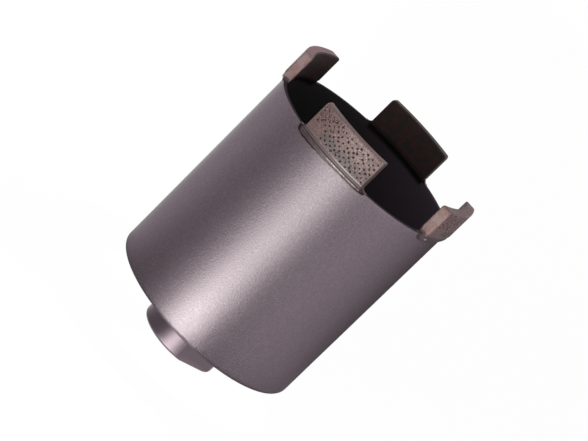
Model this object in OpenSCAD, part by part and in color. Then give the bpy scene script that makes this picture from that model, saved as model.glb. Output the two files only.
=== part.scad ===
// Diamond core bit for dry cutting socket-box holes: a thin welded steel cup
// on a threaded hub, with curved sintered segments brazed on its rim.
// It stands on the hub's end face with the mouth up. Millimetres.

/* [Cutting ring] */
// Diameter of the hole that the bit cuts, over the segments
bit_d = 68; // [60:1:120]
// Length of a segment, end to end
seg_chord = 24; // [16:0.5:28]
// Thickness of a segment, from its inner to its outer face
seg_t = 3.2; // [2.8:0.1:4]
// Height of a segment
seg_h = 10.5; // [7:0.5:15]
// How far the segments stand outside the barrel
outer_set = 1.2; // [0.6:0.1:1.4]
// Height of the foot band, which holds no diamond
foot_h = 1; // [0.6:0.1:3]
// How far the foot band is set back from the faces
foot_step = 0.2; // [0.1:0.05:0.4]
// Rounding of a segment's upper corners, seen from outside
seg_corner = 0.8; // [0.4:0.1:2]
// Rounding of the crown's long edges
crown_edge = 0.4; // [0.2:0.1:1]

/* [Barrel] */
// Depth of the barrel, from its back face to the rim
barrel_h = 69; // [40:1:160]
// Wall of the tube
wall = 1.3; // [1:0.1:1.8]
// Bevel on both edges of the rim
rim_bevel = 0.2; // [0.1:0.05:0.4]

/* [Back plate] */
// Thickness of the plate outside the tube
plate_t = 3; // [2.4:0.2:6]
// Height of the register that the tube sits round
register_h = 3; // [2:0.5:6]
// Rounding of the plate's back edge
plate_round = 1.2; // [0.4:0.1:1.6]
// Unwelded land at the root of the girth weld
root_face = 0.3; // [0.2:0.1:0.5]

/* [Hub] */
// Diameter of the hub
hub_d = 26.6; // [25:0.1:34]
// Height of the hub behind the back plate
hub_h = 12.6; // [10:0.1:20]
// Width across the wrench flats
flat_af = 22.6; // [19:0.1:24]
// Height of the wrench flats, from the hub's end
flat_h = 9.6; // [6:0.1:10]
// Turn of the wrench flats against the segments, in degrees
flat_turn = -34; // [-90:1:90]
// Rounding of the hub's end edge
hub_round = 1; // [0.4:0.1:1.2]
// Diameter of the spigot that goes through the plate
spigot_d = 20; // [18.5:0.5:23]
// How far the spigot stands inside the cup
spigot_out = 1.4; // [0.4:0.2:4]
// Nominal diameter of the drive thread
thread_d = 16; // [12:0.5:16]
// Pitch of the drive thread
thread_pitch = 2; // [1:0.25:2]
// How much wider than the thread its countersinks are
sink_over = 0.6; // [0.2:0.1:1]
// Leg of the fillet weld round the hub
hub_leg = 2; // [1:0.1:2.4]

/* [Braze] */
// Thickness of the braze layer under a segment
braze_gap = 0.1; // [0.05:0.05:0.3]
// How far the lip of braze reaches down the barrel
lip_drop = 2.1; // [1:0.1:4]
// How far the lip of braze reaches past a segment's ends
lip_over = 2; // [1.2:0.1:3]
// Step at the lip's lower edge
lip_edge = 0.3; // [0.1:0.05:0.35]
// Rounding of the lip's lower corners
lip_corner = 1.5; // [0.4:0.1:2]
// Height of the braze in the corner at a segment's ends
end_fillet = 1.1; // [0.5:0.1:2]

/* [Fits] */
// Clearance at a diameter, between the plate and what fits in or round it
fit_gap = 0.1; // [0.05:0.05:0.2]

/* [Hidden] */
$fn = 128;
// A minor diameter lies this many pitches inside the nominal one
thread_drop = 1.0825;
seg_pitch = 90;
colour_lacquer = [0.47, 0.42, 0.45];
colour_hub = [0.42, 0.37, 0.39];
colour_weld = [0.44, 0.39, 0.42];
colour_segment = [0.58, 0.47, 0.45];

seg_ro = bit_d / 2;
seg_ri = seg_ro - seg_t;
foot_ro = seg_ro - foot_step;
foot_ri = seg_ri + foot_step;
barrel_r = seg_ro - outer_set;
bore_r = barrel_r - wall;
register_r = bore_r - fit_gap / 2;
groove = wall - root_face;

back_z = hub_h;
joint_z = back_z + plate_t;
floor_z = joint_z + register_h;
rim_z = back_z + barrel_h;
seg_z = rim_z + braze_gap;
crown_z = seg_z + seg_h;
spigot_z = floor_z + spigot_out;

thread_r = (thread_d - thread_drop * thread_pitch) / 2;
sink_r = (thread_d + sink_over) / 2;
sink_h = sink_r - thread_r;
spigot_r = spigot_d / 2;
hub_r = hub_d / 2;

// The lip's face is an arc, upright under the segment's foot
lip_in = foot_ro - barrel_r - lip_edge;
lip_arc = (lip_drop * lip_drop + lip_in * lip_in) / (2 * lip_in);

// Box from [x0, y0] to [x1, y1]
module span(x0, x1, y0, y1) {
    translate([x0, y0]) square([x1 - x0, y1 - y0]);
}

// Runs an outline of width and height out from the axis, along +X
module outwards(reach) {
    rotate([90, 0, 90]) linear_extrude(reach) children();
}

// Round-cornered outline, as wide as w either side of the middle
module outline(w, low, high, r, round_top) {
    inner = round_top ? high - r : low + r;
    union() {
        span(-w / 2, w / 2, round_top ? low : inner, round_top ? inner : high);
        span(-w / 2 + r, w / 2 - r, low, high);
        for (side = [-1, 1]) translate([side * (w / 2 - r), inner]) circle(r);
    }
}

module barrel_tube() {
    color(colour_lacquer)
    rotate_extrude() polygon([
        [bore_r, joint_z],
        [barrel_r - groove, joint_z],
        [barrel_r, joint_z + groove],
        [barrel_r, rim_z - rim_bevel],
        [barrel_r - rim_bevel, rim_z],
        [bore_r + rim_bevel, rim_z],
        [bore_r, rim_z - rim_bevel]
    ]);
}

// Turned disc: a flange as wide as the barrel and a register inside the tube
module back_plate() {
    hole_r = spigot_r + fit_gap / 2;
    color(colour_lacquer)
    rotate_extrude() difference() {
        union() {
            span(hole_r, barrel_r, back_z + plate_round, joint_z);
            span(hole_r, barrel_r - plate_round, back_z, joint_z);
            span(hole_r, register_r, back_z, floor_z);
            translate([barrel_r - plate_round, back_z + plate_round]) circle(plate_round);
        }
        polygon([
            [barrel_r - groove, joint_z],
            [barrel_r, joint_z - groove],
            [barrel_r + groove, joint_z]
        ]);
    }
}

// Weld in the groove between the tube and the plate, dressed flush
module girth_weld() {
    color(colour_weld)
    rotate_extrude() polygon([
        [barrel_r - groove, joint_z],
        [barrel_r, joint_z - groove],
        [barrel_r, joint_z + groove]
    ]);
}

module hub_section() {
    union() {
        span(thread_r, hub_r, hub_round, back_z);
        span(thread_r, hub_r - hub_round, 0, back_z);
        span(thread_r, spigot_r, 0, spigot_z);
        translate([hub_r - hub_round, hub_round]) circle(hub_round);
    }
}

module threaded_hub() {
    color(colour_hub)
    difference() {
        rotate_extrude() difference() {
            hub_section();
            polygon([[0, 0], [sink_r, 0], [thread_r, sink_h], [0, sink_h]]);
            polygon([[0, spigot_z], [sink_r, spigot_z], [thread_r, spigot_z - sink_h], [0, spigot_z - sink_h]]);
        }
        for (side = [0, 180]) rotate(flat_turn + side)
            translate([flat_af / 2, -hub_d, -flat_h]) cube([hub_d, 2 * hub_d, 2 * flat_h]);
    }
}

// Fillet weld between the hub and the back plate
module hub_weld() {
    color(colour_weld)
    rotate_extrude() polygon([
        [hub_r, back_z - hub_leg],
        [hub_r + hub_leg, back_z],
        [hub_r, back_z]
    ]);
}

// Section of a segment: foot band, faces, and a crown with rounded edges
module segment_section() {
    difference() {
        union() {
            span(seg_ri, seg_ro, seg_z, crown_z - crown_edge);
            span(seg_ri + crown_edge, seg_ro - crown_edge, seg_z, crown_z);
            for (r = [seg_ri + crown_edge, seg_ro - crown_edge])
                translate([r, crown_z - crown_edge]) circle(crown_edge);
        }
        span(seg_ri - foot_step, foot_ri, rim_z, seg_z + foot_h);
        span(foot_ro, seg_ro + foot_step, rim_z, seg_z + foot_h);
    }
}

module segment(place) {
    color(colour_segment)
    rotate(place * seg_pitch) intersection() {
        rotate_extrude() segment_section();
        outwards(bit_d) outline(seg_chord, seg_z, crown_z, seg_corner, true);
    }
}

// Lip of braze below a segment's foot, on the outside of the barrel
module braze_lip() {
    intersection() {
        rotate_extrude() intersection() {
            span(barrel_r, foot_ro, rim_z - lip_drop, rim_z);
            translate([foot_ro - lip_arc, rim_z]) circle(lip_arc);
        }
        outwards(bit_d) outline(seg_chord + 2 * lip_over, rim_z - lip_drop, rim_z, lip_corner, false);
    }
}

// Thin layer of braze between the rim and a segment
module braze_layer() {
    intersection() {
        rotate_extrude() span(bore_r + rim_bevel, foot_ro, rim_z, seg_z);
        outwards(bit_d) span(-seg_chord / 2, seg_chord / 2, rim_z, seg_z);
    }
}

// Braze drawn up into the corner at each end of a segment
module braze_ends() {
    intersection() {
        rotate_extrude() span(bore_r + rim_bevel, foot_ro, rim_z, rim_z + end_fillet);
        outwards(bit_d) for (side = [-1, 1]) polygon([
            [side * seg_chord / 2, rim_z],
            [side * (seg_chord / 2 + lip_over), rim_z],
            [side * seg_chord / 2, rim_z + end_fillet]
        ]);
    }
}

module braze(place) {
    color(colour_weld)
    rotate(place * seg_pitch) union() {
        braze_lip();
        braze_layer();
        braze_ends();
    }
}

barrel_tube();
back_plate();
girth_weld();
threaded_hub();
hub_weld();
segment(0);  // segment_1
segment(1);  // segment_2
segment(2);  // segment_3
segment(3);  // segment_4
braze(0);  // braze_1
braze(1);  // braze_2
braze(2);  // braze_3
braze(3);  // braze_4
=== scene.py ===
import math

import bpy
import numpy as np
from mathutils import Matrix, Vector


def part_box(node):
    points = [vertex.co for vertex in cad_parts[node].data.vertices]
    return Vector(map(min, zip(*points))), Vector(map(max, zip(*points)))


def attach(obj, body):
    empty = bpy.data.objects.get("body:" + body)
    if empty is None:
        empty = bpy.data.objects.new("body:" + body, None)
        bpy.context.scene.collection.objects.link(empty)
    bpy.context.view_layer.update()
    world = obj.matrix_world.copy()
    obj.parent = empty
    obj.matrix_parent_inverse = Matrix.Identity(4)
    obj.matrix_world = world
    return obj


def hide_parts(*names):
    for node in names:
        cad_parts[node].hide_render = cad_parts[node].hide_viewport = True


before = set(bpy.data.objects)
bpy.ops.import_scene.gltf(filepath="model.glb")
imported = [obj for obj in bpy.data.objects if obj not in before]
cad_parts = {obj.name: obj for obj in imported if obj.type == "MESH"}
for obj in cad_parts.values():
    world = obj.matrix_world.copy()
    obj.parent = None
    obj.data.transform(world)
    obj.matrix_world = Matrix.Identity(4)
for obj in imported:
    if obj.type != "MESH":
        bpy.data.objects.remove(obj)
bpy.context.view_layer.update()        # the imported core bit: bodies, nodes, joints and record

mm = 0.001
print("frame loaded:", len(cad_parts), "nodes")


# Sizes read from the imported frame, in millimetres

def nodeBox(name):
    # A node's lowest and highest corners
    low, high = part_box(name)
    return np.array(low) / mm, np.array(high) / mm


tubeLow, tubeHigh = nodeBox("barrel_tube")
plateLow, plateHigh = nodeBox("back_plate")
hubHigh = nodeBox("threaded_hub")[1]
segLow, segHigh = nodeBox("segment_1")
barrelR = tubeHigh[0]      # outer radius of the cup
jointZ = tubeLow[2]        # where the tube stands on the plate
rimZ = tubeHigh[2]
backZ = plateLow[2]        # the plate's back face
floorZ = plateHigh[2]      # the bottom of the cup
hubR = hubHigh[0]
spigotZ = hubHigh[2]
segRo = segHigh[0]         # cutting radius
segHalf = segHigh[1]       # half a segment's length
segRi = math.hypot(segLow[0], segHalf)     # the box's low x is where the inner face ends
segZ = segLow[2]           # underside of the foot
crownZ = segHigh[2]        # the cutting edge
tiny = 1e-6                # two places closer than this are the same


# Mesh building: every shape is a grid of points worked out with numpy

def gridFaces(rows, cols, wrapRows=False):
    # Quads between neighbouring points of a rows by cols grid, whose columns join up
    i = np.arange(rows if wrapRows else rows - 1)[:, None]
    j = np.arange(cols)[None, :]
    down, along = (i + 1) % rows, (j + 1) % cols
    quads = np.stack([i * cols + j, i * cols + along, down * cols + along, down * cols + j], -1)
    return quads.reshape(-1, 4)


def capFaces(ring, centre):
    # A fan of triangles from a ring of point numbers to one centre point
    return np.stack([ring, np.roll(ring, -1), np.full(len(ring), centre)], -1)


def volumeOf(points, faces):
    # Six times the signed volume: each face is a fan of triangles to the origin
    total = 0.0
    for group in faces:
        for k in range(1, group.shape[1] - 1):
            a, b, c = points[group[:, 0]], points[group[:, k]], points[group[:, k + 1]]
            total += np.einsum("ij,ij->", a, np.cross(b, c))
    return total


def addPiece(name, points, faces, nodes, material, sharp=40, marks=None):
    # Puts a grid into a mesh, turns it right side out and hides the CAD nodes it stands for
    points = np.asarray(points, float).reshape(-1, 3)
    if volumeOf(points, faces) < 0:
        faces = [group[:, ::-1] for group in faces]
    mesh = bpy.data.meshes.new(name)
    mesh.from_pydata((points * mm).tolist(), [], [f for group in faces for f in group.tolist()])
    for mark, values in (marks or {}).items():
        layer = mesh.attributes.new(mark, "FLOAT", "POINT")
        layer.data.foreach_set("value", np.asarray(values, np.float32).ravel())
    mesh.shade_smooth()
    mesh.set_sharp_from_angle(angle=math.radians(sharp))
    mesh.materials.append(material)
    piece = bpy.data.objects.new(name, mesh)
    bpy.context.scene.collection.objects.link(piece)
    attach(piece, "root")
    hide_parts(*nodes)


def arcPoints(cx, cy, r, start, end, count):
    # Points on a circle's arc, from the start angle to the end angle in degrees
    a = np.radians(np.linspace(start, end, count))
    return np.stack([cx + r * np.cos(a), cy + r * np.sin(a)], -1)


def spread(a, b, count):
    # Evenly spaced points on a straight line, both ends kept
    return np.linspace(a, b, count)


def eased(x, start, full):
    # 0 before start and 1 after full, with flat ends
    share = np.clip((x - start) / (full - start), 0, 1)
    return share * share * (3 - 2 * share)


def polar(r, angles, z):
    # Points at a radius, an angle and a height; the three are spread to one shape
    return np.stack(np.broadcast_arrays(r * np.cos(angles), r * np.sin(angles), z), -1)


def addRing(name, grid, node, material, sharp=40):
    # A piece that goes all the way round, whose grid joins up both ways
    faces = gridFaces(grid.shape[0], grid.shape[1], wrapRows=True)
    addPiece(name, grid, [faces], [node], material, sharp)


def addQuarter(name, place, points, faces, material, sharp, marks):
    # One of four pieces that stand round the axis, a quarter turn apart and counted from 1
    turn = math.radians(90 * place)
    spin = np.array([[math.cos(turn), -math.sin(turn), 0], [math.sin(turn), math.cos(turn), 0], [0, 0, 1]])
    node = f"{name}_{place + 1}"
    addPiece(f"{name}{place + 1}", points @ spin.T, faces, [node], material, sharp, marks)


# Shader maths written as expressions

class Wire:
    # One output of a shader node. Arithmetic on it adds Math nodes to the same tree.

    def __init__(self, tree, socket=None):
        self.tree, self.socket = tree, socket

    def node(self, kind, settings=None, inputs=None, output=0):
        # Adds any node: its settings first, then the values or links of its sockets
        made = self.tree.nodes.new(kind)
        for key, value in (settings or {}).items():
            if key == "stops":
                setStops(made.color_ramp, value)
            else:
                setattr(made, key, value)
        for key, value in (inputs or {}).items():
            if isinstance(value, Wire):
                self.tree.links.new(value.socket, made.inputs[key])
            else:
                made.inputs[key].default_value = value
        return Wire(self.tree, made.outputs[output])

    def maths(self, operation, *values):
        # One Math node on these values, in this order
        return self.node("ShaderNodeMath", {"operation": operation}, dict(enumerate(values)))

    def __add__(self, other):
        return self.maths("ADD", self, other)

    def __sub__(self, other):
        return self.maths("SUBTRACT", self, other)

    def __rsub__(self, other):
        return self.maths("SUBTRACT", other, self)

    def __mul__(self, other):
        return self.maths("MULTIPLY", self, other)

    def __truediv__(self, other):
        return self.maths("DIVIDE", self, other)

    def __pow__(self, other):
        return self.maths("POWER", self, other)

    def __abs__(self):
        return self.maths("ABSOLUTE", self)

    __radd__ = __add__
    __rmul__ = __mul__

    def step(self, low, high, base=0):
        # 0 below low, 1 above high, eased between; both are measured from base
        inputs = {"Value": self, "From Min": base + low, "From Max": base + high}
        return self.node("ShaderNodeMapRange", {"interpolation_type": "SMOOTHSTEP"}, inputs)

    def band(self, low, full, ebb, gone, base=0):
        # Rises from low to full and falls from ebb to gone; all are measured from base
        return self.step(low, full, base) * (1 - self.step(ebb, gone, base))

    def mixColour(self, dark, light):
        # Goes from the first colour to the second as this value goes from 0 to 1
        colours = {0: self, 6: asColour(dark), 7: asColour(light)}
        return self.node("ShaderNodeMix", {"data_type": "RGBA"}, colours, 2)

    def endIn(self, kind):
        # Links this output to a new output node
        self.tree.links.new(self.socket, self.tree.nodes.new(kind).inputs[0])


def emptyTree(block):
    # Gives a material or a world nodes, and clears them
    block.use_nodes = True
    block.node_tree.nodes.clear()
    return Wire(block.node_tree)


def wireMax(first, second):
    # The larger of two values
    return first.maths("MAXIMUM", first, second)


def asColour(value):
    # A wire as it is, or three plain numbers with full opacity
    return value if isinstance(value, Wire) else (*value, 1)


def setStops(ramp, stops):
    # Stops are (place, level) in order; the ramp starts with two, at its ends
    ramp.interpolation = "EASE"
    ramp.elements[0].position, ramp.elements[1].position = stops[0][0], stops[-1][0]
    for place, level in stops[1:-1]:
        ramp.elements.new(place)
    for element, (place, level) in zip(ramp.elements, stops):
        element.color = (level, level, level, 1)


class Finish:
    # A material with its Principled shader, read in Object coordinates in millimetres

    def __init__(self, name, **constants):
        self.material = bpy.data.materials.new(name)
        self.any = emptyTree(self.material)
        tree = self.any.tree
        self.shader = tree.nodes.new("ShaderNodeBsdfPrincipled")
        Wire(tree, self.shader.outputs[0]).endIn("ShaderNodeOutputMaterial")
        for key, value in constants.items():
            self.shader.inputs[key].default_value = value
        scaling = {0: self.any.node("ShaderNodeTexCoord", output=3), "Scale": 1 / mm}
        self.place = self.any.node("ShaderNodeVectorMath", {"operation": "SCALE"}, scaling)
        split = self.any.node("ShaderNodeSeparateXYZ", inputs={0: self.place})
        outs = split.socket.node.outputs
        self.x, self.y, self.z = (Wire(tree, outs[k]) for k in range(3))
        self.radius = (self.x * self.x + self.y * self.y) ** 0.5

    def noise(self, grain, detail=2.0, rough=0.5, stretch=(1, 1, 1)):
        # Soft noise whose lumps are about grain millimetres across
        stretching = {0: self.place, 1: stretch}
        where = self.any.node("ShaderNodeVectorMath", {"operation": "MULTIPLY"}, stretching)
        inputs = {"Vector": where, "Scale": 1 / grain, "Detail": detail, "Roughness": rough}
        return self.any.node("ShaderNodeTexNoise", inputs=inputs)

    def bump(self, height, depth):
        # Height in millimetres times depth
        inputs = {"Height": height, "Distance": depth * mm, "Strength": 1.0}
        return self.any.node("ShaderNodeBump", inputs=inputs)

    def attribute(self, name):
        # A number that the mesh holds at its points
        return self.any.node("ShaderNodeAttribute", {"attribute_name": name}, output=2)

    def feed(self, **wires):
        # Each socket takes a wire or a plain value
        for key, value in wires.items():
            socket = self.shader.inputs[key.replace("_", " ")]
            if isinstance(value, Wire):
                self.any.tree.links.new(value.socket, socket)
            else:
                socket.default_value = value


# Finishes. A pair of numbers says where something begins and where it is full, and four also say
# where it starts to fade and where it is gone. In formulas, a number is how much its layer counts.

lacquer = {
    "colour": (0.151, 0.115, 0.138),      # mauve grey, as it looks in plain light
    "flake": (0.196, 0.153, 0.180),       # the brighter flakes in it
    "inside": (0.022, 0.020, 0.020),      # near black inside the cup: dark lacquer deepened by painted shade
    "insideLit": (0.075, 0.056, 0.072),   # painted light: thin mauve on one side of the inside
    "underFootShade": (0.005, 0.004, 0.0035),       # painted shade inside, just under each segment
    "edgeShade": (0.048, 0.036, 0.041),      # painted shade along the plate's back edge and on the rim
    "gloss": (0.62, 0.60, 0.61, 1),       # tint of its shine
    "grain": 0.42,                        # size of the flakes, millimetres
    "relief": 0.100,                      # height of the grain
    "patches": 9.0,                       # size of the duller patches
    "flakes": (0.40, 0.68),               # shares of the noise
    "insideShading": (-24, 26),                 # along X, where the inside goes from painted shade to painted light
    "outside": (-1.12, -1.02),            # from the barrel's radius
    "besideSegment": (-0.4, 0.6),         # from a segment's end, where the painted shade under it reaches
    "underSegment": (-2.4, -0.8),         # from the rim, where the painted shade under each segment reaches
    "backFace": (0.2, 0.75),              # from the plate's back face
    "backCorner": (-1.5, -0.8),           # from the barrel's radius
    "rimFace": (-0.18, -0.08),            # from the rim
}


def barrelLacquer():
    # Flakes over the lacquer outside, and inside near black lacquer deepened by painted shade and lit towards
    # +X by painted light, parted by the radius; painted shade on the rim, the back edge and under each
    # segment by height
    made = Finish("barrelLacquer", **{"IOR": 1.45, "Specular IOR Level": 0.0, "Coat Roughness": 0.3,
                                      "Specular Tint": lacquer["gloss"]})
    flakes = made.noise(lacquer["grain"], rough=0.6)
    patches = made.noise(lacquer["patches"], detail=3.0)
    inner = 1 - made.radius.step(*lacquer["outside"], barrelR)
    outerTint = flakes.step(*lacquer["flakes"]).mixColour(lacquer["colour"], lacquer["flake"])
    # Painted light inside the cup: lighter towards +X
    cavity = made.x.step(*lacquer["insideShading"]).mixColour(lacquer["inside"], lacquer["insideLit"])
    # Painted shade on the inner wall just under each segment's foot
    near = [1 - abs(axis).step(*lacquer["besideSegment"], segHalf) for axis in (made.x, made.y)]
    shadedUnderFoot = wireMax(*near) * made.z.step(*lacquer["underSegment"], rimZ)
    # Painted shade along the plate's back edge and on the rim's top
    backFace = 1 - made.z.step(*lacquer["backFace"], backZ)
    backEdge = backFace * made.radius.step(*lacquer["backCorner"], barrelR)
    rim = made.z.step(*lacquer["rimFace"], rimZ)
    edged = wireMax(backEdge * 0.9, rim).mixColour(outerTint, lacquer["edgeShade"])
    # Inside, dark lacquer with painted shade, and painted shade just under each segment
    tone = inner.mixColour(edged, shadedUnderFoot.mixColour(cavity, lacquer["underFootShade"]))
    rough = 0.28 + flakes * 0.08 + patches * 0.04 + inner * 0.40 + rim * 0.35 + backEdge * 0.3
    plain = 1 - wireMax(backEdge, rim * 0.9)
    made.feed(Base_Color=tone, Roughness=rough, Metallic=plain * 0.9, Coat_Weight=plain * 0.10,
              Normal=made.bump(flakes, lacquer["relief"]))
    return made.material


hubSkin = {
    "colour": (0.166, 0.126, 0.148),      # the same lacquer over turned steel
    "flake": (0.181, 0.140, 0.161),
    "bare": (0.20, 0.19, 0.185),          # oiled steel in the bore
    "grain": 0.3,                         # size of the flakes, and their height
    "relief": 0.0015,
    "turning": 0.22,                      # width of the lathe's fine lines, and their height
    "lineRelief": 0.003,
    "flakes": (0.42, 0.66),               # shares of the noise
    "lacquered": (8.3, 8.5),              # from the axis
}


def hubLacquer():
    # Faint flakes over the lacquer, parted by the radius from the bare steel in the bore
    made = Finish("hubLacquer", **{"IOR": 1.45})
    flakes = made.noise(hubSkin["grain"], detail=1.0)
    turning = made.noise(hubSkin["turning"], detail=1.0, stretch=(0.05, 0.05, 1))
    bore = 1 - made.radius.step(*hubSkin["lacquered"])
    skin = flakes.step(*hubSkin["flakes"]).mixColour(hubSkin["colour"], hubSkin["flake"])
    tone = bore.mixColour(skin, hubSkin["bare"])
    height = flakes * hubSkin["relief"] + turning * hubSkin["lineRelief"]
    made.feed(Base_Color=tone, Roughness=0.27 + flakes * 0.03, Metallic=0.98,
              Normal=made.bump(height, 1.0))
    return made.material


matrix = {
    "dark": (0.100, 0.059, 0.061),        # the sintered bronze, between these two
    "light": (0.248, 0.176, 0.182),
    "spark": (0.55, 0.49, 0.49),          # bare bright specks
    "red": (0.105, 0.050, 0.046),         # redder and darker towards one end of the outer face, painted shade
    "scuff": (0.092, 0.076, 0.083),       # grey smear above the foot
    "smear": (0.030, 0.022, 0.024),       # and dark marks in it
    "pit": (0.026, 0.009, 0.009),
    "foot": (0.095, 0.067, 0.077),
    "footStain": (0.056, 0.029, 0.032),   # heat stain at one end of the foot
    "footShade": (0.034, 0.017, 0.018),      # painted shade along the foot's lower edge joint and across its middle
    "step": (0.33, 0.285, 0.30),          # painted highlight where the face steps out over the foot
    "crown": (0.140, 0.087, 0.088),       # the cutting edge, between these two, darkened as painted shade
    "crownPale": (0.235, 0.140, 0.146),
    "end": (0.226, 0.121, 0.121),         # the upright ends, between these two
    "endPale": (0.258, 0.174, 0.176),
    "inward": (0.034, 0.014, 0.013),      # dark overspray deepened by painted shade on what looks into the cup, between these two
    "inwardGreen": (0.017, 0.014, 0.010),
    "stain": (0.030, 0.018, 0.017),       # painted shade on the crown and ends of one segment, and on the ends of another
    "relief": 0.05,                       # height of the specks
}

matrixZone = {
    # heights from the foot's top, and places along from the segment's middle, unless a note says
    # from where
    "outer": (-0.32, -0.26),              # from the cutting radius
    "bore": (0.26, 0.32),                 # from the inner radius
    "inward": (0.32, 0.6),                # from the inner radius
    "ends": (-0.75, -0.5),                # from the segment's end
    "endsLater": 0.35,                    # on the outer face it begins this much nearer the end
    "crown": (-1.0, -0.1),                # from the crown
    "crownAlong": (4, 11),
    "redAlong": (-10, 4),
    "scuff": (0.3, 1.2, 2.2, 5.0),
    "scuffAlong": (-9, -4),
    "smear": (0.5, 1.2, 2.4, 3.6),
    "smearAlong": (-8, -4, 5, 9),
    "foot": (-0.03, 0.03),
    "joint": (0.16, 0.28),                # from the foot's underside, where the painted shade at its lower edge ends
    "footLine": (0.25, 0.4, 0.5, 0.7),    # from the foot's underside, a painted shade line across it
    "step": (0.06, 0.14, 0.26, 0.36),
    "stepAlong": (-1, 4),
    "litTowardsCrown": (-7, -1),                # from the crown: painted light, lighter towards the top
    "underFootShade": (0, 0.7),                     # from the foot's underside, painted shade on what looks into the cup
    "pit": (0.02, 0.35),                  # share of a pit's depth
    "specks": (0.30, 0.74),               # shares of the noise, here and below
    "sparks": (0.68, 0.78),
    "endBlotches": (0.4, 0.62),
    "scuffBlotches": (0.34, 0.50),
    "smearMarks": (0.60, 0.68),
    "turning": (0.3, 0.7),
    "stepBlotches": (0.3, 0.5),
    "spray": (0.4, 0.6),
}


def segmentMatrix():
    # One layer over another: each mask mixes the tone so far with the layer's own colour
    made, zone = Finish("segmentMatrix", **{"IOR": 1.5, "Specular IOR Level": 0.3}), matrixZone
    names = ("pit", "along", "stain", "heat", "pale", "spray")
    pit, along, stain, heat, pale, spray = (made.attribute(name) for name in names)
    speck = made.noise(0.42, detail=3.0, rough=0.6)
    blotch = made.noise(3.2, detail=3.0)
    fine = made.noise(0.30, detail=1.0)
    marks = made.noise(1.3)
    turning = made.noise(0.16, detail=1.0, stretch=(0.04, 0.04, 1))
    film = made.noise(2.0, detail=4.0)
    footTop = segZ + segment["footHeight"]
    outer = made.radius.step(*zone["outer"], segRo)
    away = abs(along)

    # The bronze with its crown and ends
    base = speck.step(*zone["specks"]).mixColour(matrix["dark"], matrix["light"])
    # Painted shade: the outer face goes redder and darker towards its first end
    redder = ((1 - along.step(*zone["redAlong"])) * outer * 0.4).mixColour(base, matrix["red"])
    ends = (away - outer * zone["endsLater"]).step(*zone["ends"], segHalf)
    endTone = blotch.step(*zone["endBlotches"]).mixColour(matrix["end"], matrix["endPale"])
    # Painted shade darkens the crown, less towards the ends, and painted light makes each crown paler by its
    # own amount
    crown = made.z.step(*zone["crown"], crownZ) * (1 - outer)
    crown = crown * (0.9 - away.step(*zone["crownAlong"]) * 0.5)
    crownTone = pale.mixColour(matrix["crown"], matrix["crownPale"])
    sides = crown.mixColour((ends * 0.7).mixColour(redder, endTone), crownTone)
    sparks = (fine.step(*zone["sparks"]) * 0.8).mixColour(sides, matrix["spark"])

    # A grey scuff above the foot, with dark marks in it
    low = made.z.band(*zone["scuff"], footTop)
    scuff = blotch.step(*zone["scuffBlotches"]) * low * along.step(*zone["scuffAlong"]) * outer
    greyed = (scuff * 0.85).mixColour(sparks, matrix["scuff"])
    smear = marks.step(*zone["smearMarks"]) * along.band(*zone["smearAlong"]) * outer
    smear = smear * made.z.band(*zone["smear"], footTop)
    smeared = (smear * 0.85).mixColour(greyed, matrix["smear"])

    # Fine turned lines run round the foot, with painted shade along it and a painted highlight where the face
    # steps out
    faces = wireMax(outer, 1 - made.radius.step(*zone["bore"], segRi))
    foot = (1 - made.z.step(*zone["foot"], footTop)) * faces
    footTone = heat.mixColour(matrix["foot"], matrix["footStain"])
    footed = foot.mixColour(smeared, turning.step(*zone["turning"]).mixColour(footTone, matrix["foot"]))
    # Painted shade along the foot's lower edge and, where it is browned, across its middle
    joint = 1 - made.z.step(*zone["joint"], segZ)
    middle = made.z.band(*zone["footLine"], segZ) * heat
    footShaded = (wireMax(joint, middle) * outer * 0.9).mixColour(footed, matrix["footShade"])
    # Painted highlight on the edge where the face steps out, towards the second end
    edge = made.z.band(*zone["step"], footTop) * along.step(*zone["stepAlong"])
    edge = edge * blotch.step(*zone["stepBlotches"]) * outer
    edged = edge.mixColour(footShaded, matrix["step"])

    # Pits, then painted shade on one segment's crown and ends, then overspray with painted shade on what
    # looks into the cup
    pitted = pit.step(*zone["pit"]).mixColour(edged, matrix["pit"])
    darkened = (stain * wireMax(1 - outer, ends)).mixColour(pitted, matrix["stain"])
    inward = 1 - made.radius.step(*zone["inward"], segRi)
    # Overspray with painted shade on what looks into the cup, lighter towards the crown as painted light
    insideShading = inward * spray * (0.96 - (1 - stain) * made.z.step(*zone["litTowardsCrown"], crownZ) * 0.18)
    layer = film.step(*zone["spray"]).mixColour(matrix["inward"], matrix["inwardGreen"])
    # Painted shade at the bottom of what looks into the cup
    shadedUnderFoot = inward * (1 - made.z.step(*zone["underFootShade"], segZ))
    tone = shadedUnderFoot.mixColour(insideShading.mixColour(darkened, layer), lacquer["underFootShade"])
    made.feed(Base_Color=tone, Roughness=0.55 + pit * 0.2 + crown * 0.15 - foot * 0.1,
              Metallic=(0.55 - pit * 0.5 + inward * 0.3) * (1 - stain * 0.5),
              Normal=made.bump(speck, matrix["relief"]))
    return made.material


solder = {
    "tint": (0.074, 0.052, 0.058),        # lacquered braze, between these two
    "tintPale": (0.110, 0.080, 0.088),
    "brown": (0.022, 0.012, 0.013),       # browned by heat, between these two
    "brownPale": (0.046, 0.031, 0.033),
    "bright": (0.44, 0.41, 0.425),        # painted highlight, a line close under the foot
    "outline": (0.026, 0.010, 0.010),     # painted shade along the lip's outline
    "inside": (0.006, 0.0045, 0.0045),    # painted shade on what looks into the cup
    "relief": 0.03,                       # height of the flow marks
    "outside": (-1.15, -0.85),            # from the barrel's radius
    "streaks": (0.3, 0.7),                # shares of the noise, here and below
    "lumps": (0.42, 0.60),
    "broken": (0.36, 0.58),
}


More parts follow.
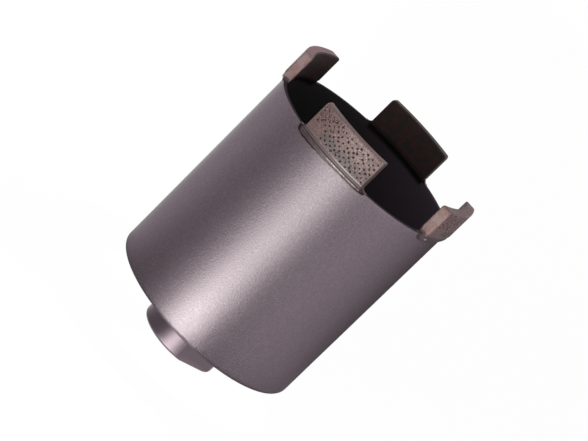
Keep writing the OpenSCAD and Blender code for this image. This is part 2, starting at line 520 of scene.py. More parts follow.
def brazeSkin():
    # Streaked lacquer that goes brown with heat, then the painted highlight and painted shade lines of the
    # mesh's marks
    made = Finish("brazeSkin", **{"IOR": 1.45})
    flow = made.noise(1.6)
    streaks = made.noise(0.4, stretch=(0.12, 0.12, 1)).step(*solder["streaks"])
    lumps = made.noise(1.0, detail=3.0).step(*solder["lumps"])
    broken = made.noise(0.45).step(*solder["broken"])
    contour, gleam, heat = (made.attribute(name) for name in ("contour", "gleam", "heat"))
    tint = streaks.mixColour(solder["tint"], solder["tintPale"])
    brown = streaks.mixColour(solder["brown"], solder["brownPale"])
    browned = (heat * (0.55 + lumps * 0.45)).mixColour(tint, brown)
    bright = (gleam * broken).mixColour(browned, solder["bright"])
    lined = (contour * 0.92).mixColour(bright, solder["outline"])
    # Painted shade on what looks into the cup
    inner = 1 - made.radius.step(*solder["outside"], barrelR)
    tone = (inner * 0.97).mixColour(lined, solder["inside"])
    made.feed(Base_Color=tone, Roughness=0.38 + flow * 0.10, Metallic=0.9,
              Normal=made.bump(flow, solder["relief"]))
    return made.material


barrelMaterial, hubMaterial = barrelLacquer(), hubLacquer()
print("finishes made")


# The cup: tube, back plate and the dressed weld between them

cup = {
    "wall": 1.3,          # tube wall
    "rimRound": 0.2,      # rounding of the rim's edges
    "backRound": 1.2,     # rounding of the plate's back edge
    "root": 0.3,          # land under the girth weld
    "holeR": 10.05,       # the plate's hole for the hub
    "fit": 0.05,          # gap between the register and the tube
    "bevel": 0.3,         # on the register's edge
    "turns": 420,
}
groove = cup["wall"] - cup["root"]    # the girth weld's leg


def tubeSection():
    # Up the bore, over the rounded rim, down the outside and into the weld's groove
    boreR, e = barrelR - cup["wall"], cup["rimRound"]
    return np.concatenate([
        spread((boreR, jointZ), (boreR, rimZ - e), 24)[:-1],
        arcPoints(boreR + e, rimZ - e, e, 180, 90, 5),
        arcPoints(barrelR - e, rimZ - e, e, 90, 0, 5),
        spread((barrelR, rimZ - e), (barrelR, jointZ + groove), 34)[1:],
        [(barrelR - groove, jointZ)],
    ])


def plateSection():
    # Round the flange's back edge, up the groove, over the register and down the hole
    e, bevel = cup["backRound"], cup["bevel"]
    registerR = barrelR - cup["wall"] - cup["fit"]
    return np.concatenate([
        spread((cup["holeR"], backZ), (barrelR - e, backZ), 12)[:-1],
        arcPoints(barrelR - e, backZ + e, e, -90, 0, 12),
        [(barrelR, jointZ - groove), (barrelR - groove, jointZ)],
        [(registerR, jointZ), (registerR, floorZ - bevel), (registerR - bevel, floorZ)],
        spread((registerR - bevel, floorZ), (cup["holeR"], floorZ), 12)[1:],
    ])


def girthSection():
    # From the groove's root out along the plate's slope, up the barrel's face and back in
    return np.array([(barrelR - groove, jointZ), (barrelR, jointZ - groove), (barrelR, jointZ),
                     (barrelR, jointZ + groove)])


roundAngles = np.linspace(0, 2 * math.pi, cup["turns"], endpoint=False)
for name, node, section in (("cupTube", "barrel_tube", tubeSection()),
                            ("cupPlate", "back_plate", plateSection()),
                            ("cupGirthWeld", "girth_weld", girthSection())):
    # A closed section in radius and height, carried round the axis
    grid = polar(section[:, 0], roundAngles[:, None], section[:, 1])
    addRing(name, grid, node, barrelMaterial)
print("cup made")


# The hub: turned, with two milled flats, countersinks and a real thread

hub = {
    "flatGap": 22.6,       # across the flats
    "flatHeight": 9.6,
    "flatLedge": 0.01,     # height of the ledge at their top
    "flatTurn": -34,       # degrees
    "edgeRound": 1.0,
    "spigotR": 10.0,
    "spigotBevel": 0.2,
    "thread": 16.0,
    "pitch": 2.0,
    "threadDepth": 0.54125,      # in pitches, as the next two are
    "grooveHalf": 0.375,         # half the groove's width at its mouth
    "rootHalf": 0.0625,          # and at its bottom
    "threadFill": 0.97,          # share of the depth that the groove reaches
    "sinkR": 8.3,
    "boreRows": 190,
    "weldLeg": 2.0,
    "weldCrown": 0.16,     # how far the weld's face bulges, and its ripples
    "weldRipple": 0.10,
    "weldRipples": 76,
    "weldTurns": 720,
    "turns": 264,
}
minorR = hub["thread"] / 2 - hub["threadDepth"] * hub["pitch"]    # the bore inside the thread


def hubAngles():
    # Even turns, with the flats' edges added so that they stay crisp
    half = math.acos(hub["flatGap"] / 2 / hubR)
    edges = [math.radians(hub["flatTurn"]) + side + way * half
             for side in (0, math.pi) for way in (-1, 1)]
    even = np.linspace(0, 2 * math.pi, hub["turns"], endpoint=False)
    return np.unique(np.round(np.concatenate([even, np.mod(edges, 2 * math.pi)]), 6))


def threadRadius(angles, z):
    # Radius of a helical groove: flat crests, 60 degree flanks and a narrow flat root
    phase = np.mod(z / hub["pitch"] - angles / (2 * math.pi), 1)
    off = np.abs(phase - 0.5)
    rise = np.clip((hub["grooveHalf"] - off) / (hub["grooveHalf"] - hub["rootHalf"]), 0, 1)
    return minorR + rise * hub["threadDepth"] * hub["pitch"] * hub["threadFill"]


def hubGrid():
    # Bore up, spigot and outside down; each point's radius may depend on its angle
    angles, rows = hubAngles(), hub["boreRows"]
    e, bevel, spigotR = hub["edgeRound"], hub["spigotBevel"], hub["spigotR"]
    sink = hub["sinkR"] - minorR
    bore = np.stack([np.full(rows, minorR), np.linspace(0, spigotZ, rows)], -1)
    outside = np.concatenate([
        [(spigotR - bevel, spigotZ), (spigotR, spigotZ - bevel), (spigotR, backZ)],
        spread((spigotR, backZ), (hubR, backZ), 4)[1:],
        spread((hubR, backZ), (hubR, hub["flatHeight"] + hub["flatLedge"]), 5)[1:],
        spread((hubR, hub["flatHeight"]), (hubR, e), 14),
        arcPoints(hubR - e, e, e, 0, -90, 10)[1:],
        spread((hubR - e, 0), (hub["sinkR"], 0), 5)[1:-1],
    ])
    section = np.concatenate([bore, outside])
    r = np.broadcast_to(section[:, 0], (len(angles), len(section))).copy()
    z = np.broadcast_to(section[:, 1], r.shape)
    a = np.broadcast_to(angles[:, None], r.shape)
    inBore = np.arange(len(section)) < len(bore)
    cone = minorR + np.maximum(np.maximum(sink - z, z - (spigotZ - sink)), 0)
    r = np.where(inBore, np.maximum(cone, threadRadius(a, z) * (z > 0) * (z < spigotZ)), r)
    # The flats cut every radius back to two planes below their top
    least = 0.2    # a point that faces a plane by less is clear of it
    for side in (0, math.pi):
        facing = np.cos(a - math.radians(hub["flatTurn"]) - side)
        reach = np.where(facing > least, hub["flatGap"] / 2 / np.maximum(facing, least), np.inf)
        r = np.where(~inBore & (z <= hub["flatHeight"]), np.minimum(r, reach), r)
    return polar(r, a, z)


addRing("threadedHub", hubGrid(), "threaded_hub", hubMaterial, sharp=32)


def weldGrid():
    # A fillet whose face bulges as a sine across, with the ripples of a weld pool round it
    leg, turns = hub["weldLeg"], hub["weldTurns"]
    slope = 0.7    # sine of 45 degrees, because the bulge stands square to the face
    angles = np.linspace(0, 2 * math.pi, turns, endpoint=False)
    across = np.linspace(0, 1, 10)
    ripple = np.abs(np.sin(angles * hub["weldRipples"] / 2))[:, None] ** 0.6
    crown = np.sin(across * math.pi)[None, :] * (hub["weldCrown"] + hub["weldRipple"] * ripple)
    r = hubR + leg * across[None, :] + crown * slope
    z = backZ - leg * (1 - across[None, :]) - crown * slope
    face = polar(r, angles[:, None], z)
    root = polar(hubR, angles[:, None], backZ)
    return np.concatenate([face, root], 1)


addRing("hubWeld", weldGrid(), "hub_weld", hubMaterial, sharp=60)
print("hub made")


# The segments: sintered blocks bent to the barrel, with pits where grit shows. Along a segment,
# places run from its first end, at minus half its length, to its second.

segment = {
    "corner": 0.8,         # rounding of the upper corners, and of each one's second corner
    "second": (0.8, 0.8, 0.8, 0.4),
    "bendAbove": 1.0,      # how high above the foot the corners begin to pull the rows down
    "crownEdge": 0.4,      # rounding of the crown's long edges
    "endEdge": 0.3,        # rounding of the upright ends
    "endFace": 0.28,       # how near the end the end's own darkening begins
    "footHeight": 1.0,
    "footStep": 0.2,
    "footRamp": 0.12,      # height over which the face steps out
    "footGrooves": 0.03,   # depth of the fine lines round the foot
    "footLines": 2,
    "across": 214,         # grid steps from end to end
    "stain": (0.1, 0.9, 0, 0),        # how dark each one's crown is, as painted shade, most of all on the back one
    "endDarkening": (0.1, 0.9, 0, 0.7),   # and each one's ends, which on the front one are darker too
    "pale": (0.3, 0, 1, 0),           # how pale each one's crown is, as painted light
    "spray": (0.4, 1, 1, 1),          # how much overspray and painted shade each one's inner face has
    "heat": (0.25, 0.5, 0.2, 1),      # how brown each one's foot is towards its first end
    "heatAlong": (-9, 1),             # between these it goes from full to nothing
}

pits = {
    "seed": 11,
    "radius": 0.35,
    "sizes": (0.65, 1.15),     # smallest and largest, as shares of that
    "depth": 0.20,
    "bowl": 0.8,               # below 1, a bowl's bottom is flatter
    "lean": 0.5,               # how far a bowl leans along the segment
    "rowPitch": 0.87,          # they stand in staggered rows
    "pitch": 2.07,
    "shake": 0.13,             # how far they stray from their rows
    "share": 0.93,             # how many of the places have one
    "aboveFoot": 0.95,         # the lowest row
    "underCrown": 0.75,        # and the highest
    "start": 0.3,              # the first column, from the first end
    "margin": 0.6,             # kept clear at the ends
    "bareTo": -6.5,            # no rows before this place, deeper than this under the crown
    "bareUnder": 6.0,
    "shrunkTo": -4,            # and smaller pits before this one, higher than this
    "shrunkAbove": 5.2,
    "shrunk": 0.75,
    "smallCount": 34,          # small crowded ones among those
    "smallTo": -3.5,
    "smallR": (0.14, 0.21),
}


def segmentStations():
    # Places from end to end, closer together where the corners and ends turn
    c, e = segment["corner"], segment["endEdge"]
    middle = np.linspace(-(segHalf - c), segHalf - c, segment["across"])
    corner = np.linspace(segHalf - c, segHalf - e, 5)[1:]
    end = segHalf - e + e * np.sin(np.linspace(0, math.pi / 2, 8))[1:]
    return np.concatenate([-end[::-1], -corner[::-1], middle, corner, end])


def faceOutline(faceR, out, footRows, faceRows):
    # Up the set-back foot, out over its ramp, up the face and round the crown's edge by an arc;
    # out is 1 for the outer face and -1 for the inner one
    e, setBack = segment["crownEdge"], faceR - out * segment["footStep"]
    footTop = segZ + segment["footHeight"]
    return np.concatenate([
        spread((setBack, segZ), (setBack, footTop), footRows),
        spread((faceR, footTop + segment["footRamp"]), (faceR, crownZ - e), faceRows),
        arcPoints(faceR - out * e, crownZ - e, e, 90 - out * 90, 90, 8)[1:],
    ])


def segmentOutline():
    # The section: up the outer face, over the crown, down the inner face and back under the foot
    outer, inner = faceOutline(segRo, 1, 12, 84), faceOutline(segRi, -1, 10, 16)
    crown = spread(outer[-1], inner[-1], 22)[1:-1]
    under = spread(inner[0], outer[0], 12)[1:-1]
    return np.concatenate([outer, crown, inner[::-1], under])


def pitPlaces(seed):
    # Staggered rows of pits, fewer low at one end and small crowded ones high at the same end
    rng = np.random.default_rng(seed)
    margin = pits["margin"]
    first, last = segZ + segment["footHeight"] + pits["aboveFoot"], crownZ - pits["underCrown"]
    row, col = np.meshgrid(np.arange(int((last - first) / pits["rowPitch"]) + 1),
                           np.arange(int(2 * segHalf / pits["pitch"]) + 2), indexing="ij")
    t = -segHalf + pits["start"] + (col + (row % 2) / 2) * pits["pitch"]
    t = t + rng.normal(0, pits["shake"], row.shape)
    z = first + row * pits["rowPitch"] + rng.normal(0, pits["shake"], row.shape)
    size = pits["radius"] * rng.uniform(*pits["sizes"], row.shape)
    smaller = (t < pits["shrunkTo"]) & (z > crownZ - pits["shrunkAbove"])
    size = size * np.where(smaller, pits["shrunk"], 1)
    bare = (t < pits["bareTo"]) & (z < crownZ - pits["bareUnder"])
    kept = (rng.random(row.shape) < pits["share"]) & (np.abs(t) < segHalf - margin) & ~bare
    smallT = rng.uniform(margin - segHalf, pits["smallTo"], pits["smallCount"])
    smallZ = rng.uniform(crownZ - pits["shrunkAbove"], crownZ - margin, pits["smallCount"])
    smallSize = rng.uniform(*pits["smallR"], pits["smallCount"])
    return (np.concatenate([t[kept], smallT]), np.concatenate([z[kept], smallZ]),
            np.concatenate([size[kept], smallSize]), rng)


def pitField(t, z, seed):
    # Depth 1 in the middle of each bowl, falling with the square of the distance to 0 at its edge
    depth = np.zeros(t.shape)
    centresT, centresZ, sizes, rng = pitPlaces(seed)
    leans = rng.uniform(-pits["lean"], pits["lean"], len(sizes))
    for ct, cz, size, lean in zip(centresT, centresZ, sizes, leans):
        away = (t - ct + lean * (z - cz)) ** 2 + (z - cz) ** 2
        depth = np.maximum(depth, np.clip(1 - away / size ** 2, 0, 1) ** pits["bowl"])
    return depth


def segmentGrid(place):
    # Height falls at the corners, the section shrinks at the ends, and pits sink into the outer face
    t, ring = segmentStations(), segmentOutline()
    middle, thick, tall = (segRi + segRo) / 2, segRo - segRi, crownZ - segZ
    e, footHeight = segment["endEdge"], segment["footHeight"]
    c = np.where(t > 0, segment["second"][place], segment["corner"])
    past = np.clip((np.abs(t) - (segHalf - c)) / c, 0, 1)
    drop = c * (1 - np.sqrt(1 - past ** 2))
    ending = np.clip((np.abs(t) - (segHalf - e)) / e, 0, 1)
    inset = e * (1 - np.sqrt(1 - ending ** 2))
    bendFrom = segZ + footHeight + segment["bendAbove"]
    share = np.clip((ring[:, 1] - bendFrom) / (crownZ - bendFrom), 0, 1)
    tt = np.repeat(t[:, None], len(ring), 1)
    r = middle + (ring[None, :, 0] - middle) * (1 - 2 * inset[:, None] / thick)
    z = segZ + (ring[None, :, 1] - segZ) * (1 - inset[:, None] / tall) - drop[:, None] * share[None, :]
    faceOut = (np.abs(ring[:, 0] - segRo) < tiny)[None, :]
    pit = faceOut * pitField(tt, z, pits["seed"] + place)
    r = r - pits["depth"] * pit
    # Fine lines, as waves of a cosine up the outside of the foot
    foot = (ring[:, 1] <= segZ + footHeight + tiny) & (ring[:, 0] > middle)
    lines = 0.5 - 0.5 * np.cos((z - segZ) * 2 * math.pi * segment["footLines"] / footHeight)
    r = r - segment["footGrooves"] * lines * foot[None, :]
    return np.stack([np.sqrt(r ** 2 - tt ** 2), tt, z], -1), pit


def endRings(ring):
    # Rings that shrink from an end's outline to its middle, and that middle
    centre = ring.mean(0)
    shrink = np.array([0.97, 0.9, 0.75, 0.5, 0.25])[:, None, None]
    return centre + (ring - centre) * shrink, centre


def closedBar(grid, *fields):
    # A tube of rings closed at both ends; fields carry over, with the end rings' values repeated
    firstCap, firstTip = endRings(grid[0])
    lastCap, lastTip = endRings(grid[-1])
    layers = np.concatenate([firstCap[::-1], grid, lastCap])
    count, cols = layers.shape[:2]
    points = np.concatenate([layers.reshape(-1, 3), [firstTip, lastTip]])
    ring = np.arange(cols)
    fans = np.concatenate([capFaces(ring, count * cols)[:, ::-1],
                           capFaces(ring + (count - 1) * cols, count * cols + 1)])
    padded = []
    for field in fields:
        ends = [np.repeat(field[:1], len(firstCap), 0), field, np.repeat(field[-1:], len(lastCap), 0)]
        padded.append(np.append(np.concatenate(ends).ravel(), [0, 0]))
    return points, [gridFaces(count, cols), fans], padded


def heatMark(t, place, full, gone):
    # How brown the foot and the braze are, between full and gone along the segment
    return segment["heat"][place] * (1 - eased(t, full, gone))


def makeSegment(place):
    # The grid closed at its ends, with what its finish has to know at each point
    grid, pit = segmentGrid(place)
    points, faces, (pitMark,) = closedBar(grid, pit)
    along = points[:, 1]
    atEnd = np.abs(along) > segHalf - segment["endFace"]
    marks = {"pit": pitMark, "along": along, "heat": heatMark(along, place, *segment["heatAlong"])}
    marks["stain"] = np.where(atEnd, segment["endDarkening"][place], segment["stain"][place])
    for key in ("pale", "spray"):
        marks[key] = np.full(len(points), segment[key][place])
    addQuarter("segment", place, points, faces, segmentMaterial, 50, marks)


segmentMaterial = segmentMatrix()
for place in range(4):
    makeSegment(place)
print("segments made")


# The braze: a skin over the rim and down the barrel, thick under each segment's foot

braze = {
    "seed": 71,
    "drop": 2.1,           # how far down the barrel it reaches at its deep end
    "shallow": (0.56, 0.56, 0.36, 0.56),   # each one's share of that at its second end
    "deepAlong": (-11, 6),     # between these it goes from deep to shallow
    "over": 2.0,           # how far past the segment's first end
    "second": (2.0, 2.0, 0.8, 1.7),    # and past each one's second end
    "shoulder": 0.9,       # how far before the segment's end its outline begins to turn up
    "waver": 0.035,        # how far its outline wavers, as a share, and in which waves
    "waves": (0.4, 0.8, 1.5, 2.6),
    "edge": 0.26,          # thickness near its outline
    "skirt": 0.09,         # share of its reach over which it thins to nothing
    "full": (0.98, 0.98, 0.6, 0.98),   # each one's thickness under the foot
    "thinning": (-0.4, 0.9),   # between these, from the segment's end, that goes down to the edge's
    "lumps": 0.02,         # height of the lumps on it, and their waves along and down
    "lumpWaves": ((1.1, 2.0), (2.3, -1.4), (3.9, 2.8)),
    "climb": 1.05,         # how high it rises against the segment's ends
    "climbFall": 2.4,      # how steeply that falls off
    "climbFrom": 0.05,     # how far under the segment it starts
    "film": 0.05,          # thickness where it has fallen off
    "boreSide": 0.3,       # width over which it rises from the bore's edge
    "layer": 0.09,         # thickness between the rim and the foot
    "turning": (-0.25, 0.20),  # between these, from the rim's edge, it goes from the rim to the barrel
    "sunk": 0.12,          # how far its edges lie inside the steel
    "back": 0.14,          # and how far its back does
    "heatAlong": (-6, 2),      # between these its brown goes from full to nothing
    "contour": (0.45, 0.5, 0.25, 1),   # how dark each one's painted shade along its outline is
    "contourEnds": ((1, 6), (8, 11)),  # where it gets darker towards the first and the second end
    "contourLeast": 0.2,       # and how dark it is between them
    "contourFrom": (0.86, 0.94),       # shares of its reach
    "contourWider": 0.22,      # how much sooner it begins where it is dark
    "fillet": (-0.2, 0.3),     # from the segment's end: where the painted shade in the corner begins and is full
    "filletDark": 0.8,
    "gleamDown": 0.25,     # how far under the rim the painted highlight lies, and its width
    "gleamWidth": 0.055,
    "gleamAlong": (-3, 1),
}

bead = {
    # a bead of solder with a painted highlight, left near the first end of one lip
    "place": 0,
    "along": 0.9,          # from the segment's end
    "down": 0.7,           # from the rim
    "spread": 0.2,         # square of its width
    "height": 0.3,
    "gleam": 1.6,
}


def brazeThickness(t, s, place, rng):
    # s runs from the bore's edge over the rim and down the outside. A rounded rectangle, away
    # from 0 to 1, bounds the lip, which is thick under the foot and thin near its outline.
    wall, beyond = cup["wall"], 1.2    # away is told up to this far past the outline
    past = np.abs(t) - segHalf
    over = np.where(t > 0, braze["second"][place], braze["over"])
    shallow, waver = braze["shallow"][place], braze["waver"]
    deep = shallow + (1 - shallow) * (1 - eased(t, *braze["deepAlong"]))
    below = np.clip((s - wall) / (braze["drop"] * deep), 0, beyond)
    wavering = sum(rng.uniform(-waver, waver) * np.sin(t * k + rng.uniform(0, 6)) for k in braze["waves"])
    side = np.clip((past + braze["shoulder"]) / (over + braze["shoulder"]), 0, beyond)
    away = (side ** 3 + (below * (1 + wavering)) ** 3) ** (1 / 3)
    skirt = 1 - eased(away, 1 - braze["skirt"], 1)
    swell = (1 - np.clip(below, 0, 1) ** 1.5) * (1 - eased(past, *braze["thinning"]))
    outside = braze["edge"] * skirt + (braze["full"][place] - braze["edge"]) * swell * skirt
    lumps = sum(rng.uniform(0.4, 1) * np.sin(t * k + s * m + rng.uniform(0, 6))
                for k, m in braze["lumpWaves"])
    outside = np.where(away < 1, outside + braze["lumps"] * lumps * skirt, -braze["sunk"])
    fall = (1 - np.clip(past / over, 0, 1)) ** braze["climbFall"]
    climb = (braze["climb"] * fall + braze["film"]) * eased(s, 0, braze["boreSide"])
    onRim = np.where(past < -braze["climbFrom"], braze["layer"], climb)
    # Painted shade along the outline, most of all at both ends, and a painted highlight close under the foot
    first, second = braze["contourEnds"]
    ends = np.maximum(eased(-t, *first), eased(t, *second))
    ends = braze["contourLeast"] + (1 - braze["contourLeast"]) * ends
    contour = eased(away + braze["contourWider"] * ends, *braze["contourFrom"]) * ends * (s > wall)
    fillet = eased(past, *braze["fillet"]) * (s > 0) * braze["filletDark"]
    contour = np.maximum(contour, fillet * (place > 0)) * braze["contour"][place]
    gleam = np.exp(-((s - wall - braze["gleamDown"]) / braze["gleamWidth"]) ** 2)
    gleam = gleam * eased(t, *braze["gleamAlong"]) * (past < 0)
    return onRim, outside, contour, gleam


def brazeGrid(place):
    # The skin stands off the rim and the barrel by its thickness, in a direction that turns from
    # upright to level over the rim's edge; its back lies just inside the steel
    rng = np.random.default_rng(braze["seed"] + place)
    wall, half, near = cup["wall"], segHalf + braze["over"], segHalf - 0.4
    # Rows and columns stand closest together at the segment's ends and round the rim's edge
    stations = np.concatenate([np.linspace(-half, -near, 36), np.linspace(-near, near, 150)[1:-1],
                               np.linspace(near, half, 36)])
    s = np.concatenate([np.linspace(0, wall - 0.3, 8), np.linspace(wall - 0.2, wall + 0.4, 16),
                        np.linspace(wall + 0.46, wall + braze["drop"] + 0.1, 26)])
    t, s = np.meshgrid(stations, s, indexing="ij")
    onRim, outside, contour, gleam = brazeThickness(t, s, place, rng)
    lean = eased(s - wall, *braze["turning"]) * math.pi / 2
    thick = onRim * np.cos(lean) ** 2 + outside * np.sin(lean) ** 2
    # The bead rises from the lip, and a painted highlight lies on it
    if place == bead["place"]:
        apart = (t + segHalf - bead["along"]) ** 2 + (s - wall - bead["down"]) ** 2
        mound = np.exp(-apart / bead["spread"])
        thick = thick + bead["height"] * mound
        gleam = gleam + bead["gleam"] * mound ** 2
    thick = np.where(np.abs(t) > half - tiny, -braze["sunk"], thick)
    baseR = barrelR - wall + np.minimum(s, wall)
    baseZ = rimZ - np.maximum(s - wall, 0)
    layers = []
    for stand in (thick, np.full(t.shape, -braze["back"])):
        r, z = baseR + stand * np.sin(lean), baseZ + stand * np.cos(lean)
        layers.append(np.stack([np.sqrt(r ** 2 - t ** 2), t, z], -1))
    points = np.concatenate([layers[0], layers[1][:, ::-1]], 1)
    fields = [np.concatenate([field, field[:, ::-1]], 1) for field in (contour, gleam)]
    return points, fields


def makeBraze(place):
    # The skin closed at its ends, with its painted shade and painted highlight lines and its heat stain
    grid, fields = brazeGrid(place)
    points, faces, (contour, gleam) = closedBar(grid, *fields)
    heat = heatMark(points[:, 1], place, *braze["heatAlong"])
    marks = {"contour": contour, "gleam": gleam, "heat": heat}
    addQuarter("braze", place, points, faces, brazeMaterial, 60, marks)


brazeMaterial = brazeSkin()
for place in range(4):
    makeBraze(place)
print("braze made")


# The camera stands where the photograph was taken from

view = {
    "width": 588,            # the photograph's frame, pixels
    "focal": 2732.4,         # focal length, pixels
    "azimuth": 11.3,         # degrees round from looking along +Y
    "elevation": 16.73,
    "roll": 45.47,
    "distance": 806.0,       # millimetres from the middle of the barrel
    "aimX": -8.76,           # where the barrel's middle lies from the frame's middle, pixels
    "aimY": 14.10,
    "sensor": 36.0,
}


def placeCamera():
    # Stands off the barrel's middle by azimuth, elevation and distance, rolled about the line of
    # sight, and aims so that the middle falls where the photograph has it
    az, el, roll = (math.radians(view[k]) for k in ("azimuth", "elevation", "roll"))
    target = Vector((0, 0, (backZ + rimZ) / 2))
    away = Vector((math.sin(az) * math.cos(el), -math.cos(az) * math.cos(el), math.sin(el)))
    right = Vector((math.cos(az), math.sin(az), 0))
    up = right.cross(-away)
    right, up = (math.cos(roll) * right + math.sin(roll) * up, -math.sin(roll) * right + math.cos(roll) * up)
    perPixel = view["distance"] / view["focal"]
    place = target + away * view["distance"]
    aim = target - right * view["aimX"] * perPixel + up * view["aimY"] * perPixel
    back = (place - aim).normalized()
    across = up.cross(back).normalized()
    upright = back.cross(across)
    data = bpy.data.cameras.new("photoCamera")
    data.sensor_width = view["sensor"]
    data.lens = view["focal"] / view["width"] * view["sensor"]
    data.clip_start, data.clip_end = 0.05, 50
    camera = bpy.data.objects.new("photoCamera", data)
    turn = Matrix((across, upright, back)).transposed().to_4x4()
    camera.matrix_world = Matrix.Translation(place * mm) @ turn
    bpy.context.scene.collection.objects.link(camera)
    bpy.context.scene.camera = camera


placeCamera()
print("camera placed")


# Floor, world and lamps

studio = {
    "floorSize": 8.0,        # metres
    "floorWhite": 0.985,     # share of the floor that is plain white in the picture
    "floorColour": (0.9, 0.9, 0.9),
    "air": 0.70,             # level of the light from all round
}


def seenWhite(wire):
    # 1 for what the camera, a reflection or glass sees directly, and 0 for light
    rays = wire.node("ShaderNodeLightPath").socket.node.outputs
    seen = [Wire(wire.tree, rays[name]) for name in ("Is Camera Ray", "Is Glossy Ray", "Is Transmission Ray")]
    return wireMax(wireMax(seen[0], seen[1]), seen[2])


def addSheet(name, points, faces, material):
    # Puts a flat mesh with one material into the scene
    mesh = bpy.data.meshes.new(name)
    mesh.from_pydata(points, [], faces)
    mesh.materials.append(material)
    made = bpy.data.objects.new(name, mesh)
    bpy.context.scene.collection.objects.link(made)
    return made


def makeFloor():
    # A square that is plain white where it is seen directly, and takes light elsewhere
    half = studio["floorSize"] / 2
    corners = [(-half, -half, 0), (half, -half, 0), (half, half, 0), (-half, half, 0)]
    material = bpy.data.materials.new("paleFloor")
    wire = emptyTree(material)
    plain = wire.node("ShaderNodeBsdfDiffuse", inputs={"Color": (*studio["floorColour"], 1)})
    white = wire.node("ShaderNodeEmission", inputs={"Color": (1, 1, 1, 1), "Strength": 1.0})
    share = seenWhite(wire) * studio["floorWhite"]
    wire.node("ShaderNodeMixShader", inputs={0: share, 1: plain, 2: white}).endIn("ShaderNodeOutputMaterial")
    floor = addSheet("studioFloor", corners, [(0, 1, 2, 3)], material)


def makeWorld():
    # White where it is seen directly, and a plain level of grey where it lights
    world = bpy.data.worlds.new("studioAir")
    bpy.context.scene.world = world
    wire = emptyTree(world)
    tone = seenWhite(wire).mixColour([studio["air"]] * 3, (1, 1, 1))
    wire.node("ShaderNodeBackground", inputs={"Color": tone, "Strength": 1.0}).endIn("ShaderNodeOutputWorld")


lamps = {
    # a soft box that faces the bit; its azimuth is on the CAD axes, and lengths are in metres
    "sideBox": {"azimuth": -25, "distance": 1.2, "height": 0.5, "wide": 0.9, "long": 0.7, "watts": 3},
}

card = {
    # a flat card on the floor round the bit, with light and dark sectors like the open and closed
    # sides of a studio; the camera doesn't see it. Lengths are in metres from the axis, places are
    # degrees round from +X, and a level of 1 is white paper. The inner part of the card shows in
    # the hub, and its outer part in the barrel.
    "near": 0.0138,
    "far": 0.9,
    "lift": 0.0001,                      # above the floor
    "segments": 96,
    "top": 24.0,                         # the highest level that it can have
    "light": (0.936, 1.050, 0.917),      # tint of the bright sector, further out
    "lightLevel": (0.04, 0.133),         # shares of the top
    "lightNear": 0.35,                   # share of the tint close to the hub
    "hubReach": (0.0355, 0.038),
    "barrelFrom": (0.054, 0.064),
    "between": 0.30,
    "boost": 1.6,                        # how much brighter the light is close to the cup
    "boostReach": (0.070, 0.093),
    "boostLevel": (0.067, 0.167),        # shares of the top
    "distant": 0.13,                     # and how much brighter it is far out
    "distantReach": (0.15, 0.26),
    "hub": ((-180, 0.70), (-160, 0.50), (-140, 0.38), (-124, 0.38), (-111, 0.5), (-101, 1.4), (-93, 3.3),
            (-86, 4.9), (-79, 4.5), (-73, 2.8), (-67, 1.6), (-60, 0.95), (-50, 0.80), (20, 0.80), (60, 0.7),
            (120, 1.2), (145, 1.5), (165, 1.0), (180, 0.70)),
    "barrel": ((-180, 0.98), (-165, 0.54), (-150, 0.35), (-135, 0.29), (-122, 0.56), (-113, 1.0),
               (-105, 1.95), (-97, 3.9), (-88, 6.0), (-80, 5.8), (-72, 3.0), (-64, 0.66), (-56, 0.48),
               (-45, 0.78), (-30, 0.96), (0, 0.90), (20, 0.76), (40, 0.45), (60, 0.20), (80, 0.02),
               (100, 0.20), (115, 1.5), (130, 1.5), (145, 1.10), (160, 1.12), (180, 0.98)),
}


def addLamp(name, lamp):
    # A rectangular lamp that stands at its azimuth and height and faces the barrel's middle
    data = bpy.data.lights.new(name, "AREA")
    data.shape, data.size, data.size_y = "RECTANGLE", lamp["wide"], lamp["long"]
    data.energy = lamp["watts"]
    made = bpy.data.objects.new(name, data)
    a = math.radians(lamp["azimuth"])
    stand = Vector((math.cos(a) * lamp["distance"], math.sin(a) * lamp["distance"], lamp["height"]))
    aim = Vector((0, 0, (backZ + rimZ) / 2 * mm))
    turn = (stand - aim).to_track_quat("Z", "Y").to_matrix().to_4x4()
    made.matrix_world = Matrix.Translation(stand) @ turn
    made.visible_camera = False
    bpy.context.scene.collection.objects.link(made)


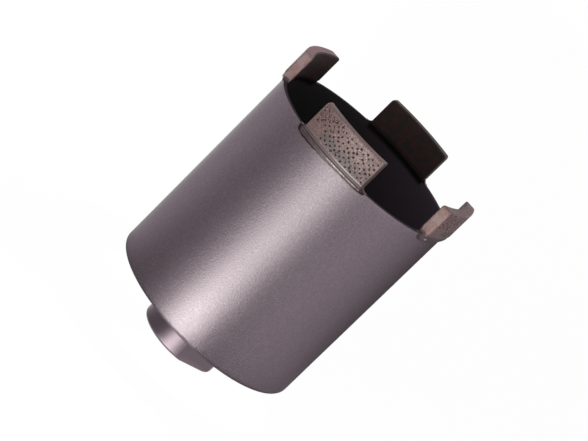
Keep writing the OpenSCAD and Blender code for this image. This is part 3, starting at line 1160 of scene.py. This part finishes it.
def cardGlow():
    # The level is looked up by the angle whose tangent is y over x, in the hub's stops close in
    # and in the barrel's further out
    material = bpy.data.materials.new("cardGlow")
    wire = emptyTree(material)
    split = wire.node("ShaderNodeSeparateXYZ", inputs={0: wire.node("ShaderNodeTexCoord", output=3)})
    x, y = (Wire(wire.tree, split.socket.node.outputs[k]) for k in (0, 1))
    radius = (x * x + y * y) ** 0.5
    turn = wire.maths("ARCTAN2", y, x) / (2 * math.pi) + 0.5
    levels = []
    for name in ("hub", "barrel"):
        stops = [(place / 360 + 0.5, level / card["top"]) for place, level in card[name]]
        levels.append(wire.node("ShaderNodeValToRGB", {"stops": stops}, {0: turn}))
    pastHub, atBarrel = radius.step(*card["hubReach"]), radius.step(*card["barrelFrom"])
    inner = (1 - pastHub) * levels[0]
    outer = atBarrel * levels[1]
    gap = pastHub * (1 - atBarrel) * (card["between"] / card["top"])
    close = (1 - radius.step(*card["boostReach"])) * card["boost"]
    rise = close + radius.step(*card["distantReach"]) * card["distant"]
    boost = 1 + rise * outer.step(*card["boostLevel"])
    share = inner + outer * boost + gap
    tinted = share.step(*card["lightLevel"]) * (card["lightNear"] + atBarrel * (1 - card["lightNear"]))
    tint = tinted.mixColour((1, 1, 1), card["light"])
    tone = share.mixColour((0, 0, 0), [card["top"]] * 3)
    lit = wire.node("ShaderNodeMix", {"data_type": "RGBA", "blend_type": "MULTIPLY", "clamp_factor": False},
                    {0: 1.0, 6: tone, 7: tint}, 2)
    wire.node("ShaderNodeEmission", inputs={"Color": lit, "Strength": 1.0}).endIn("ShaderNodeOutputMaterial")
    return material


def makeCard():
    # A ring between two circles on the floor
    count = card["segments"]
    angles = np.linspace(0, 2 * math.pi, count, endpoint=False)
    points = np.concatenate([polar(card[edge], angles, card["lift"]) for edge in ("near", "far")])
    i = np.arange(count)
    j = (i + 1) % count
    faces = np.stack([i, i + count, j + count, j], -1)
    board = addSheet("studioCard", points.tolist(), faces.tolist(), cardGlow())
    board.visible_camera = board.visible_shadow = board.visible_transmission = False


makeFloor()
makeWorld()
for name, lamp in lamps.items():
    addLamp(name, lamp)
makeCard()

bpy.context.scene.view_settings.view_transform = "Standard"
print("studio set")
